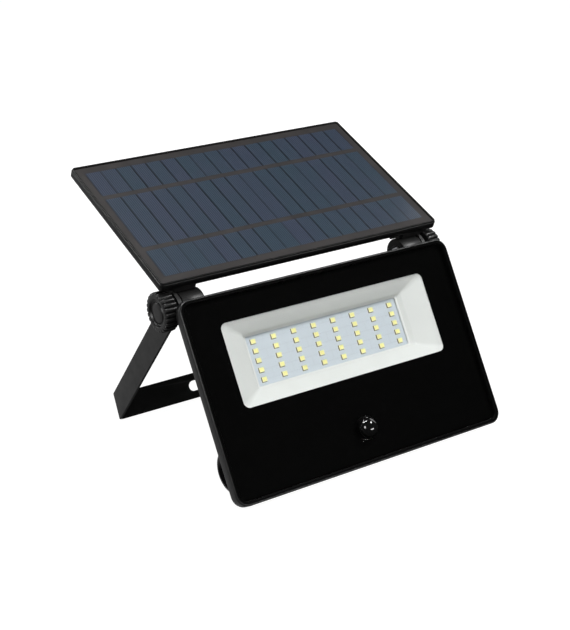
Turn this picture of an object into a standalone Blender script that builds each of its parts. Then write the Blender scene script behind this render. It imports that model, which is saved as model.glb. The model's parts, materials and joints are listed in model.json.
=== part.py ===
"""Solar flood light: a lamp and a solar panel that tilt on one hinge line, standing on a U-bracket.

Sizes are written in millimetres and scaled to metres by the helpers. Three empties sit on the hinge
line. Each has local +Y and +Z turned about X, and the sub-parts are modelled in those local axes:
  lamp:    +Y from the front glass to the back, +Z up the glass, leaning back by LAMP_LEAN
  panel:   +Y from the near edge to the far edge, +Z out of the laminate
  bracket: +Y from the hinge line down the arms to the crossbar
"""

import math

import bmesh
import bpy
from mathutils import Matrix, Vector

MM = 0.001
GAP = 0.3

# Pose: the hinge line's place in the world, and the three tilts, in degrees about X
HINGE_Y = -14.13
HINGE_HEIGHT = 115.54
LAMP_LEAN = -30.0
PANEL_TILT = 22.9
ARM_TILT = -50.0

# Lamp, in its local axes
LAMP_WIDTH = 231.4
LAMP_TOP = 1.2
LAMP_BOTTOM = -141.6
LAMP_CORNER = 9.0
RIM_FRONT = -24.1
RIM_REAR = -16.0
RIM_WIDTH = 3.4
GLASS_FRONT = -23.6
GLASS_BACK = -20.4
WINDOW_WIDTH = 175.0
WINDOW_HEIGHT = 59.8
WINDOW_Z = -49.7
WINDOW_CORNER = 4.5
FLOOR_FRONT = -6.8
FLOOR_REAR = -4.4
REAR_WIDTH = 200.0
REAR_TOP = -11.8
REAR_BOTTOM = -130.0
COVER_REAR = 6.0
WALL = 2.2
COVER_SCREWS = [(x, z) for z in (-18.5, -92.0) for x in (-90.0, 0.0, 90.0)]
SCREW_HOLE = 1.7
BOSS_RADIUS = 4.2
FIN_COUNT = 7
FIN_PITCH = 7.0
FIN_TOP = -32.0
FIN_ENDS = (-70.0, 40.0)
SWITCH_X = 66.0
VENT_X = 84.0
SWITCH_Z = -52.0

# LEDs
LED_COLUMNS = 8
LED_ROWS = 5
LED_PITCH_X = 17.1
LED_PITCH_Z = 6.81
LED_FACE = -9.4
LED_SIZE = (3.9, 3.3)
LED_HEIGHT = 0.9
BOARD_SIZE = (134.0, 38.0)
BOARD_THICKNESS = 1.4

# Reflector
FRUSTUM_Y = -13.2
FRUSTUM_SIZE = (139.2, 39.4)
LEDGE_Y = -9.9
LEDGE_SIZE = (135.8, 37.0)
OPENING_SIZE = (131.4, 35.6)
REFLECTOR_SKIN = 1.0

# Motion sensor
SENSOR_Z = -116.4
DOME_RADIUS = 6.6
COLLAR_RADIUS = 8.2
COLLAR_HOLE = 8.5

# Battery tube
TUBE_Y = -1.5
TUBE_Z = -116.6
TUBE_RADIUS = 13.6
TUBE_BORE = 11.2
TUBE_HALF = 101.4
CAP_THICKNESS = 3.0
CELL_RADIUS = 9.2
CELL_LENGTH = 64.5
CELL_COUNT = 3
CLAMP_X = 62.0
CLAMP_WIDTH = 12.0

# Hinge stack along X, from the middle of the lamp outwards
BARREL_RADIUS = 11.7
BARREL_INNER = 86.7
BARREL_OUTER = 104.2
WEB_REAR = -5.0
EAR_INNER = 105.4
EAR_OUTER = 107.9
STRAP_INNER = 108.2
STRAP = 2.0
KNOB_INNER = STRAP_INNER + STRAP + GAP
KNOB_OUTER = 120.3
KNOB_RADIUS = 14.2
KNOB_RIBS = 24
BOLT_RADIUS = 3.0
BOLT_HOLE = 3.3
NUT_RADIUS = 5.6

# Panel, in its local axes
PANEL_WIDTH = 239.2
PANEL_LENGTH = 137.3
PANEL_NEAR = 1.4
PANEL_UNDER = 17.5
PANEL_THICKNESS = 6.0
PANEL_CORNER = 3.0
FRAME_WIDTH = 2.2
FRAME_LIP = 1.4
LAMINATE = 2.0
LUG_INNER = 90.5
LUG_OUTER = 113.0
LUG_LENGTH = 26.0
LUG_SCREWS = ((94.5, 11.0), (94.5, 22.0))
LUG_SCREW_HOLE = 1.8
JUNCTION_BOX = (46.0, 30.0)
JUNCTION_Y = PANEL_NEAR + 60.0

# Bracket, in its local axes
STRAP_HALF = 9.25
FOLD_TOP = (134.4, 8.9)
FOLD_BOTTOM = (143.1, -8.6)
SLOT_HALF = 4.0
SLOT_ENDS = (27.0, 46.0)
FOLD_RADIUS = 3.0

TAU = math.tau
MIRROR = (("left", -1), ("right", 1))


def clear_scene():
    for item in list(bpy.data.objects):
        bpy.data.objects.remove(item, do_unlink=True)


def new_collection(name):
    group = bpy.data.collections.new(name)
    bpy.context.scene.collection.children.link(group)
    return group


def material(name, color, roughness, metallic=0.0):
    mat = bpy.data.materials.new(name)
    mat.use_nodes = True
    shader = mat.node_tree.nodes["Principled BSDF"]
    shader.inputs["Base Color"].default_value = (*color, 1.0)
    shader.inputs["Roughness"].default_value = roughness
    shader.inputs["Metallic"].default_value = metallic
    return mat


def pivot(name, tilt):
    """An empty on the hinge line, turned about X."""
    empty = bpy.data.objects.new(name, None)
    empty.location = Vector((0.0, HINGE_Y, HINGE_HEIGHT)) * MM
    empty.rotation_euler = (math.radians(tilt), 0.0, 0.0)
    parts.objects.link(empty)
    return empty


# Outlines: lists of 2D points in millimetres


def arc(cx, cy, radius, start, end, steps):
    turn = [math.radians(start + (end - start) * i / steps) for i in range(steps + 1)]
    return [(cx + radius * math.cos(a), cy + radius * math.sin(a)) for a in turn]


def circle(cx, cy, radius, steps=32):
    return arc(cx, cy, radius, 0, 360, steps)[:-1]


def rounded(width, height, radius, cx=0.0, cy=0.0, steps=6):
    dx, dy = width / 2 - radius, height / 2 - radius
    corners = ((dx, dy, 0), (-dx, dy, 90), (-dx, -dy, 180), (dx, -dy, 270))
    return [p for x, y, a in corners for p in arc(cx + x, cy + y, radius, a, a + 90, steps)]


def obround(x0, x1, y, radius, steps=10):
    return arc(x1 - radius, y, radius, -90, 90, steps) + arc(x0 + radius, y, radius, 90, 270, steps)


def between(low, high):
    return (low + high) / 2, high - low


# Solids: each helper returns an object in the local axes of the pivot it will be parented to


def place(name, mesh, parent=None, mat=None, group=None):
    obj = bpy.data.objects.new(name, mesh)
    (group or parts).objects.link(obj)
    obj.parent = parent
    if mat:
        mesh.materials.clear()
        mesh.materials.append(mat)
    return obj


def extrusion(outline, low, high, axis, holes=()):
    """A flat outline extruded from low to high along Y or X, as a welded mesh.

    Along Y the outline's points are (x, z); along X they are (y, z).
    """
    curve = bpy.data.curves.new("outline", "CURVE")
    curve.dimensions = "2D"
    curve.fill_mode = "BOTH"
    middle, depth = between(low, high)
    curve.extrude = depth / 2 * MM
    for points in (outline, *holes):
        spline = curve.splines.new("POLY")
        spline.points.add(len(points) - 1)
        for point, (u, v) in zip(spline.points, points):
            point.co = (u * MM, v * MM, 0.0, 1.0)
        spline.use_cyclic_u = True
    guide = bpy.data.objects.new("outline", curve)
    parts.objects.link(guide)
    graph = bpy.context.evaluated_depsgraph_get()
    mesh = bpy.data.meshes.new_from_object(guide.evaluated_get(graph))
    bpy.data.objects.remove(guide)
    if axis == "Y":
        turn = Matrix(((1, 0, 0), (0, 0, -1), (0, 1, 0))).to_4x4()
        shift = Matrix.Translation((0.0, middle * MM, 0.0))
    else:
        turn = Matrix(((0, 0, 1), (1, 0, 0), (0, 1, 0))).to_4x4()
        shift = Matrix.Translation((middle * MM, 0.0, 0.0))
    mesh.transform(shift @ turn)
    work = bmesh.new()
    work.from_mesh(mesh)
    bmesh.ops.remove_doubles(work, verts=work.verts, dist=1e-6)
    bmesh.ops.recalc_face_normals(work, faces=work.faces)
    work.to_mesh(mesh)
    work.free()
    return mesh


def slab(name, outline, low, high, parent=None, mat=None, holes=(), axis="Y", group=None):
    return place(name, extrusion(outline, low, high, axis, holes), parent, mat, group)


def block_mesh(size, centre):
    work = bmesh.new()
    scale = Matrix.Diagonal((*[s * MM for s in size], 1.0))
    bmesh.ops.create_cube(work, size=1.0, matrix=Matrix.Translation(Vector(centre) * MM) @ scale)
    mesh = bpy.data.meshes.new("block")
    work.to_mesh(mesh)
    work.free()
    return mesh


def block(name, size, centre, parent=None, mat=None, group=None):
    return place(name, block_mesh(size, centre), parent, mat, group)


def along(axis, centre):
    """Turns a shape built along +Z so that it points along an axis, and moves it to its centre."""
    turns = {
        "X": Matrix.Rotation(math.pi / 2, 4, "Y"),
        "-X": Matrix.Rotation(-math.pi / 2, 4, "Y"),
        "Y": Matrix.Rotation(-math.pi / 2, 4, "X"),
        "-Y": Matrix.Rotation(math.pi / 2, 4, "X"),
        "Z": Matrix.Identity(4),
        "-Z": Matrix.Rotation(math.pi, 4, "X"),
    }
    return Matrix.Translation(Vector(centre) * MM) @ turns[axis]


def rod(name, radius, length, axis, centre, parent=None, mat=None, segments=32, group=None, tip=None):
    work = bmesh.new()
    bmesh.ops.create_cone(
        work,
        cap_ends=True,
        segments=segments,
        radius1=radius * MM,
        radius2=(radius if tip is None else tip) * MM,
        depth=length * MM,
        matrix=along(axis, centre),
    )
    mesh = bpy.data.meshes.new(name)
    work.to_mesh(mesh)
    work.free()
    return place(name, mesh, parent, mat, group)


def turned(name, profile, axis, centre, parent=None, mat=None, steps=36, group=None):
    """A profile of (radius, height) points, from the top down its outer side, turned by Screw."""
    mesh = bpy.data.meshes.new(name)
    points = [(r * MM, 0.0, h * MM) for r, h in profile]
    closed = profile[0][0] > 0 and profile[-1][0] > 0
    edges = [(i, i + 1) for i in range(len(points) - 1)]
    if closed:
        edges.append((len(points) - 1, 0))
    mesh.from_pydata(points, edges, [])
    obj = place(name, mesh, parent, mat, group)
    obj.matrix_local = along(axis, centre)
    screw = obj.modifiers.new("turn", "SCREW")
    screw.steps = steps
    screw.render_steps = steps
    screw.use_merge_vertices = True
    screw.merge_threshold = 1e-5
    return obj


def smooth(obj, angle=35):
    obj.data.shade_smooth()
    obj.data.set_sharp_from_angle(angle=math.radians(angle))
    return obj


def bevel(obj, width, segments=2, angle=50):
    edge = obj.modifiers.new("edges", "BEVEL")
    edge.width = width * MM
    edge.segments = segments
    edge.limit_method = "ANGLE"
    edge.angle_limit = math.radians(angle)
    return obj


def combine(obj, tool, operation):
    mod = obj.modifiers.new(operation.lower(), "BOOLEAN")
    mod.operation = operation
    mod.solver = "EXACT"
    mod.object = tool
    tool.parent = obj.parent
    tool.hide_render = True
    tool.display_type = "WIRE"
    return obj


def cut(obj, *tools):
    for tool in tools:
        combine(obj, tool, "DIFFERENCE")
    return obj


def join(obj, *tools):
    for tool in tools:
        combine(obj, tool, "UNION")
    return obj


# Lamp


def lamp_outline(inset=0.0):
    height = LAMP_TOP - LAMP_BOTTOM
    radius = max(LAMP_CORNER - inset, 1.0)
    middle = (LAMP_TOP + LAMP_BOTTOM) / 2
    return rounded(LAMP_WIDTH - 2 * inset, height - 2 * inset, radius, 0.0, middle)


def rear_outline(inset=0.0):
    middle, height = between(REAR_BOTTOM, REAR_TOP)
    return rounded(REAR_WIDTH - 2 * inset, height - 2 * inset, 6.0 - inset, 0.0, middle)


def tube_cutter(name):
    length = 2 * (TUBE_HALF + CAP_THICKNESS) + 4.0
    return rod(name, TUBE_RADIUS + GAP, length, "X", (0, TUBE_Y, TUBE_Z), group=cutters, segments=48)


def add_housing():
    """Front shell: rim, side walls, a floor behind the LED board, and the two hinge barrels."""
    housing = slab("housing", lamp_outline(), RIM_FRONT, RIM_REAR, lamp, black_paint)
    bevel(housing, 1.2, 3, 60)
    rear = slab("housing_rear", rear_outline(), RIM_REAR - 2.0, FLOOR_REAR, group=cutters)
    join(housing, rear)
    for side, sign in MIRROR:
        middle, length = between(BARREL_INNER, BARREL_OUTER)
        x = sign * middle
        barrel = rod(f"barrel_{side}", BARREL_RADIUS, length, "X", (x, 0, 0), group=cutters, segments=40)
        place_y, depth = between(RIM_REAR - 1.2, WEB_REAR)
        web = block(f"web_{side}", (length - 4.0, depth, 16.0), (x, place_y, -9.0), group=cutters)
        join(housing, barrel, web)
    recess = slab("glass_recess", lamp_outline(RIM_WIDTH), RIM_FRONT - 2, GLASS_BACK + 1.0, group=cutters)
    hollow = slab("lamp_hollow", lamp_outline(6.0), GLASS_BACK, RIM_REAR - WALL, group=cutters)
    deep = slab("rear_hollow", rear_outline(WALL), RIM_REAR - 4, FLOOR_FRONT, group=cutters)
    cut(housing, recess, hollow, deep, tube_cutter("tube_space"))
    for side, sign in MIRROR:
        bore = rod(f"bolt_bore_{side}", BOLT_HOLE, 30.0, "X", (sign * 95.5, 0, 0), group=cutters, segments=24)
        place_x = sign * (BARREL_INNER + 2.2)
        radius = NUT_RADIUS + GAP
        pocket = rod(f"nut_pocket_{side}", radius, 6.0, "X", (place_x, 0, 0), group=cutters, segments=6)
        cut(housing, bore, pocket)
    for i, (x, z) in enumerate(COVER_SCREWS, 1):
        place_y = FLOOR_REAR - 1.0
        hole = rod(f"screw_hole_{i}", SCREW_HOLE, 8.0, "Y", (x, place_y, z), group=cutters, segments=16)
        cut(housing, hole)
    lead = rod("lead_hole", 2.5, 12.0, "Y", (80.0, FLOOR_FRONT, -90.0), group=cutters, segments=16)
    cut(housing, lead)


def add_rear_cover():
    """Open box over the control board. Its lower edge sits on the battery tube."""
    bottom = TUBE_Z + 6.0
    middle, height = between(bottom, REAR_TOP)
    low = FLOOR_REAR + GAP
    outline = rounded(REAR_WIDTH, height, 5.0, 0.0, middle)
    cover = slab("rear_cover", outline, low, COVER_REAR, lamp, black_plastic)
    bevel(cover, 1.5, 3, 60)
    inner = rounded(REAR_WIDTH - 2 * WALL, height - 2 * WALL, 3.0, 0.0, middle)
    hollow = slab("cover_hollow", inner, low - 2, COVER_REAR - WALL, group=cutters)
    cut(cover, hollow)
    for i, (x, z) in enumerate(COVER_SCREWS, 1):
        place_y, depth = between(low, COVER_REAR - 1.0)
        boss = rod(f"cover_boss_{i}", BOSS_RADIUS, depth, "Y", (x, place_y, z), group=cutters, segments=20)
        join(cover, boss)
    cut(cover, tube_cutter("cover_tube_space"))
    for i, (x, z) in enumerate(COVER_SCREWS, 1):
        hole = rod(f"cover_hole_{i}", 1.9, 30.0, "Y", (x, 0.0, z), group=cutters, segments=16)
        well = rod(f"cover_well_{i}", 3.6, 6.0, "Y", (x, COVER_REAR + 0.4, z), group=cutters, segments=20)
        cut(cover, hole, well)
    for fin in range(FIN_COUNT):
        outline = obround(*FIN_ENDS, FIN_TOP - FIN_PITCH * fin, 1.4, 4)
        groove = slab(f"fin_groove_{fin}", outline, COVER_REAR - 1.0, COVER_REAR + 2, group=cutters)
        cut(cover, groove)
    for name, x, radius in (("switch_hole", SWITCH_X, 6.4), ("vent_hole", VENT_X, 3.3)):
        hole = rod(name, radius, 12.0, "Y", (x, COVER_REAR, SWITCH_Z), group=cutters, segments=28)
        cut(cover, hole)


def add_front_glass():
    inset = RIM_WIDTH + GAP
    glass = slab("front_glass", lamp_outline(inset), GLASS_FRONT, GLASS_BACK, lamp, glass_black)
    bevel(glass, 0.5, 2, 60)
    hole = rod("collar_hole", COLLAR_HOLE, 12.0, "Y", (0, GLASS_BACK, SENSOR_Z), group=cutters, segments=40)
    cut(glass, hole)
    middle, height = between(LAMP_BOTTOM, LAMP_TOP)
    outer = lamp_outline(inset + 0.4)
    inner = rounded(LAMP_WIDTH - 13.0, height - 13.0, 4.0, 0.0, middle)
    slab("glass_gasket", outer, GLASS_BACK + 0.2, GLASS_BACK + 0.8, lamp, rubber, holes=(inner,))


def ring(width, height, radius, y, steps=5):
    return [(x * MM, y * MM, z * MM) for x, z in rounded(width, height, radius, 0.0, WINDOW_Z, steps)]


def add_reflector():
    """Sloping walls lofted between rounded rectangles, then thickened."""
    lip = GLASS_BACK + 0.5
    w, h = WINDOW_WIDTH, WINDOW_HEIGHT
    sections = (
        ring(w + 14.0, h + 14.0, 8.0, lip),
        ring(w + 1.5, h + 1.5, WINDOW_CORNER + 0.6, lip),
        ring(w, h, WINDOW_CORNER, lip + 0.6),
        ring(*FRUSTUM_SIZE, 2.0, FRUSTUM_Y),
        ring(*LEDGE_SIZE, 1.6, LEDGE_Y),
        ring(*OPENING_SIZE, 1.2, LEDGE_Y),
    )
    work = bmesh.new()
    loops = [[work.verts.new(point) for point in section] for section in sections]
    for outer, inner in zip(loops, loops[1:]):
        for i in range(len(outer)):
            work.faces.new((outer[i - 1], outer[i], inner[i], inner[i - 1]))
    bmesh.ops.recalc_face_normals(work, faces=work.faces)
    mesh = bpy.data.meshes.new("reflector")
    work.to_mesh(mesh)
    work.free()
    reflector = place("reflector", mesh, lamp, white_plastic)
    facing = sum(face.normal.y for face in mesh.polygons)
    skin = reflector.modifiers.new("skin", "SOLIDIFY")
    skin.thickness = REFLECTOR_SKIN * MM
    skin.offset = -1.0 if facing < 0 else 1.0


def add_led_board():
    front = LED_FACE + LED_HEIGHT
    outline = rounded(*BOARD_SIZE, 1.5, 0.0, WINDOW_Z, 3)
    board = slab("led_board", outline, front, front + BOARD_THICKNESS, lamp, board_white)
    work = bmesh.new()
    for column in range(LED_COLUMNS):
        for row in range(LED_ROWS):
            x = (column - (LED_COLUMNS - 1) / 2) * LED_PITCH_X
            z = WINDOW_Z + ((LED_ROWS - 1) / 2 - row) * LED_PITCH_Z
            centre = Vector((x, LED_FACE + LED_HEIGHT / 2 + 0.1, z)) * MM
            size = Matrix.Diagonal((LED_SIZE[0] * MM, (LED_HEIGHT + 0.2) * MM, LED_SIZE[1] * MM, 1.0))
            bmesh.ops.create_cube(work, size=1.0, matrix=Matrix.Translation(centre) @ size)
    mesh = bpy.data.meshes.new("led_packages")
    work.to_mesh(mesh)
    work.free()
    join(board, place("led_packages", mesh, group=cutters))


def add_motion_sensor():
    """Dome lens in a collar through the glass, with the sensor can and its board behind."""
    centre = (0, 0, SENSOR_Z)
    front = GLASS_FRONT
    collar = [
        (COLLAR_RADIUS - 0.7, -front + 1.0),
        (COLLAR_RADIUS - 0.2, -front + 0.5),
        (COLLAR_RADIUS, -front - 0.6),
        (COLLAR_RADIUS, -GLASS_BACK - 0.2),
        (COLLAR_RADIUS + 2.0, -GLASS_BACK - 0.2),
        (COLLAR_RADIUS + 2.0, -GLASS_BACK - 1.4),
        (DOME_RADIUS + 0.3, -GLASS_BACK - 1.4),
        (DOME_RADIUS + 0.3, -front + 1.0),
    ]
    smooth(turned("sensor_collar", collar, "-Y", centre, lamp, gloss_black, 28))
    base = -GLASS_BACK
    top = -front + 0.4
    dome = [(r, top + z) for r, z in arc(0, 0, DOME_RADIUS, 90, 0, 5)]
    dome[0] = (0.0, dome[0][1])
    inner = [(r, top + z) for r, z in arc(0, 0, DOME_RADIUS - 0.9, 0, 90, 5)]
    inner[-1] = (0.0, inner[-1][1])
    profile = dome + [(DOME_RADIUS, base - 1.0), (DOME_RADIUS - 0.9, base - 1.0)] + inner
    smooth(turned("sensor_dome", profile, "-Y", centre, lamp, gloss_black, 28))
    can = [(0.0, base + 1.6), (4.2, base + 1.6), (4.2, base - 2.2)]
    can += [(4.6, base - 2.2), (4.6, base - 2.9), (0.0, base - 2.9)]
    smooth(turned("sensor_can", can, "-Y", centre, lamp, steel, 28))
    low = GLASS_BACK + 3.2
    slab("sensor_board", rounded(24.0, 17.0, 1.0, 0.0, SENSOR_Z, 3), low, low + 1.0, lamp, board_green)


def add_control_board():
    low = FLOOR_REAR + 2.2
    outline = rounded(112.0, 44.0, 1.5, -15.0, -52.0, 3)
    board = slab("control_board", outline, low, low + 1.6, lamp, board_green)
    back = low + 1.6
    for name, size, x, z in (
        ("driver_chip", (8.0, 1.4, 6.0), -40.0, -48.0),
        ("charger_chip", (6.0, 1.4, 5.0), -10.0, -60.0),
        ("coil", (9.0, 3.0, 9.0), -25.0, -58.0),
        ("connector", (12.0, 3.4, 5.0), 20.0, -36.0),
    ):
        part = block(name, (size[0], size[1] + 0.2, size[2]), (x, back + size[1] / 2 - 0.1, z), group=cutters)
        join(board, part)


def add_battery():
    """Three cells in line in a tube, with a contact, a sealing ring and a cap at each end."""
    axis = (0, TUBE_Y, TUBE_Z)
    profile = [(TUBE_RADIUS, TUBE_HALF), (TUBE_RADIUS, -TUBE_HALF)]
    profile += [(TUBE_BORE, -TUBE_HALF), (TUBE_BORE, TUBE_HALF)]
    smooth(turned("battery_tube", profile, "X", axis, lamp, black_plastic, 40))
    for index in range(CELL_COUNT):
        x = (index - (CELL_COUNT - 1) / 2) * (CELL_LENGTH + 0.6 + GAP)
        half = CELL_LENGTH / 2
        shape = [(0.0, half + 0.6), (3.0, half + 0.6), (3.0, half), (CELL_RADIUS - 0.5, half)]
        shape += [(CELL_RADIUS, half - 0.5), (CELL_RADIUS, 0.5 - half)]
        shape += [(CELL_RADIUS - 0.5, -half), (0.0, -half)]
        smooth(turned(f"battery_cell_{index + 1}", shape, "X", (x, TUBE_Y, TUBE_Z), lamp, cell_wrap, 20))
    for side, sign in MIRROR:
        out = "X" if sign > 0 else "-X"
        end = (sign * TUBE_HALF, TUBE_Y, TUBE_Z)
        r = TUBE_RADIUS
        cap = [(0.0, 2.2), (8.6, 1.5), (10.0, 1.7), (10.4, CAP_THICKNESS)]
        cap += [(r - 0.9, CAP_THICKNESS), (r, 2.2)]
        cap += [(r, 0.3), (10.0, 0.3), (10.0, -2.0), (8.4, -2.0), (8.4, 0.3), (0.0, 0.3)]
        smooth(turned(f"battery_cap_{side}", cap, out, end, lamp, gloss_black, 32), 30)
        seal = [(11.0, -0.3), (11.0, -1.5), (10.3, -1.5), (10.3, -0.3)]
        smooth(turned(f"battery_seal_{side}", seal, out, end, lamp, rubber, 32))
        spring = [(0.0, -0.3), (7.6, -0.3), (7.6, -0.8), (3.2, -2.4), (0.0, -2.4)]
        smooth(turned(f"battery_contact_{side}", spring, out, end, lamp, steel, 24))
        low, high = sign * CLAMP_X - CLAMP_WIDTH / 2, sign * CLAMP_X + CLAMP_WIDTH / 2
        slab(f"tube_clamp_{side}", clamp_outline(), low, high, lamp, steel, axis="X")


def clamp_outline():
    """A band that follows the tube's back from the cover down to the lamp's underside."""
    outer = TUBE_RADIUS + GAP + 1.2
    inner = TUBE_RADIUS + GAP
    arc_out = [(TUBE_Y + y, TUBE_Z + z) for y, z in arc(0, 0, outer, 52, -96, 20)]
    arc_in = [(TUBE_Y + y, TUBE_Z + z) for y, z in arc(0, 0, inner, -96, 52, 20)]
    return arc_out + arc_in


def add_lamp_fittings():
    """Cover screws, pressure vent and push switch, each turned from a profile."""
    profile = [(0.0, 1.4), (1.3, 1.4), (1.4, 2.4), (2.4, 2.4), (3.2, 1.7), (3.2, 0.3)]
    profile += [(1.45, 0.3), (1.45, -9.6), (0.0, -10.4)]
    seat = COVER_REAR - 2.6
    for i, (x, z) in enumerate(COVER_SCREWS, 1):
        smooth(turned(f"cover_screw_{i}", profile, "Y", (x, seat, z), lamp, steel, 14), 30)
    vent = [(0.0, 1.6), (4.6, 1.6), (5.2, 1.1), (5.2, 0.3)]
    vent += [(3.0, 0.3), (3.0, -4.0), (0.0, -4.0)]
    smooth(turned("vent_plug", vent, "Y", (VENT_X, COVER_REAR, SWITCH_Z), lamp, rubber, 28))
    collar = [(8.4, 0.3), (8.4, 1.2), (7.8, 1.8), (5.6, 1.8), (5.6, -3.2), (6.1, -3.2), (6.1, 0.3)]
    centre = (SWITCH_X, COVER_REAR, SWITCH_Z)
    smooth(turned("switch_collar", collar[::-1], "Y", centre, lamp, black_plastic, 32))
    place_y = COVER_REAR - 7.9
    body = block("switch_body", (6.0, 3.0, 6.0), (SWITCH_X, place_y, SWITCH_Z), lamp, board_green)
    bevel(body, 0.3, 1, 50)
    button = [(0.0, 3.4), (3.6, 3.2), (4.8, 2.4), (5.2, 1.2), (5.2, -3.6), (6.0, -3.6)]
    button += [(6.0, -4.4), (2.0, -4.4), (2.0, -4.9), (0.0, -4.9)]
    smooth(turned("switch_button", button, "Y", centre, lamp, rubber, 32))


# Hinge hardware


def knob_outline(radius, depth):
    """Rounded ribs around a circle."""
    points = []
    for i in range(KNOB_RIBS * 4):
        angle = TAU * i / (KNOB_RIBS * 4)
        r = radius - (0.0, 0.15, depth, depth)[i % 4]
        points.append((r * math.cos(angle), r * math.sin(angle)))
    return points


def add_knob(side, sign):
    out = "X" if sign > 0 else "-X"
    low, high = sorted((sign * KNOB_INNER, sign * KNOB_OUTER))
    knob = slab(f"knob_{side}", knob_outline(KNOB_RADIUS, 0.9), low, high, lamp, knob_plastic, axis="X")
    depth = KNOB_OUTER
    dish = [(9.6, depth + 1.0), (9.6, depth - 1.6), (7.4, depth - 1.6)]
    dish += [(7.0, depth - 1.0), (6.6, depth + 1.0)]
    cut(knob, turned(f"knob_dish_{side}", dish, out, (0, 0, 0), steps=36, group=cutters))
    middle = sign * (KNOB_OUTER + 0.5)
    face = rod(f"knob_face_{side}", 7.2, 2.4, "X", (middle, 0, 0), group=cutters, segments=36)
    hole_x = sign * (KNOB_INNER + 1.0)
    hole = rod(f"knob_bore_{side}", NUT_RADIUS + 0.2, 5.0, "X", (hole_x, 0, 0), group=cutters, segments=6)
    cut(knob, face, hole)
    head = KNOB_INNER + 0.6
    stem = BARREL_INNER + 0.5
    bolt = [(0.0, head + 2.6), (4.7, head + 2.6), (4.7, head), (BOLT_RADIUS, head), (BOLT_RADIUS, stem + 0.5)]
    bolt += [(BOLT_RADIUS - 0.5, stem), (0.0, stem)]
    smooth(turned(f"hinge_bolt_{side}", bolt, out, (0, 0, 0), lamp, steel, 24), 30)
    low, high = BARREL_OUTER + GAP - 0.1, EAR_INNER - 0.2
    washer = [(BARREL_RADIUS - 1.0, high), (BARREL_RADIUS - 1.0, low), (BOLT_HOLE, low), (BOLT_HOLE, high)]
    smooth(turned(f"hinge_washer_{side}", washer, out, (0, 0, 0), lamp, rubber, 32))
    inner = BARREL_INNER + 0.3
    outer = BARREL_INNER + 4.9
    middle, length = between(inner, outer)
    nut = rod(f"hinge_nut_{side}", NUT_RADIUS, length, "X", (sign * middle, 0, 0), lamp, steel, 6)
    radius = BOLT_RADIUS + 0.15
    bore = rod(f"nut_bore_{side}", radius, 12.0, "X", (sign * inner, 0, 0), group=cutters, segments=24)
    cut(nut, bore)


# Panel


def panel_outline(inset=0.0):
    width, length = PANEL_WIDTH - 2 * inset, PANEL_LENGTH - 2 * inset
    return rounded(width, length, max(PANEL_CORNER - inset, 0.8), 0.0, PANEL_NEAR + PANEL_LENGTH / 2, 5)


def sheet(name, outline, low, high, parent=None, mat=None, group=None, holes=()):
    """A flat outline of (x, y) points between two heights along local Z."""
    obj = slab(name, outline, -high, -low, parent, mat, holes, "Y", group)
    obj.data.transform(Matrix.Rotation(-math.pi / 2, 4, "X"))
    return obj


def add_panel():
    top = PANEL_UNDER + PANEL_THICKNESS
    frame = sheet("panel_frame", panel_outline(), PANEL_UNDER, top, panel, black_plastic)
    bevel(frame, 0.7, 2, 60)
    opening = sheet("laminate_opening", panel_outline(FRAME_LIP), top - LAMINATE, top + 2, group=cutters)
    hollow = sheet("panel_hollow", panel_outline(FRAME_WIDTH + 0.8), PANEL_UNDER - 2, top, group=cutters)
    cut(frame, opening, hollow)
    outline = panel_outline(FRAME_LIP + GAP)
    laminate = sheet("pv_laminate", outline, top - LAMINATE + 0.2, top - 0.25, panel, cell_blue)
    bevel(laminate, 0.2, 1, 60)
    outline = panel_outline(FRAME_WIDTH + 1.1)
    back = sheet("panel_back", outline, PANEL_UNDER, PANEL_UNDER + 1.6, panel, black_plastic)
    for side, sign in MIRROR:
        for i, (x, y) in enumerate(LUG_SCREWS, 1):
            centre = (sign * x, y, PANEL_UNDER)
            hole = rod(f"back_hole_{side}_{i}", LUG_SCREW_HOLE, 8.0, "Z", centre, group=cutters, segments=16)
            cut(back, hole)
    outline = rounded(*JUNCTION_BOX, 4.0, 0.0, JUNCTION_Y, 4)
    box = sheet("junction_box", outline, PANEL_UNDER - 6.5, PANEL_UNDER - GAP, panel, black_plastic)
    bevel(box, 1.0, 2, 60)
    gland = [(0.0, 7.0), (1.6, 7.0), (2.0, 6.0), (2.0, 2.0), (2.8, 2.0), (2.8, 0.3), (0.0, 0.3)]
    centre = (0, JUNCTION_Y - JUNCTION_BOX[1] / 2, PANEL_UNDER - 3.4)
    smooth(turned("cable_gland", gland, "-Y", centre, panel, rubber, 24))


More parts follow.
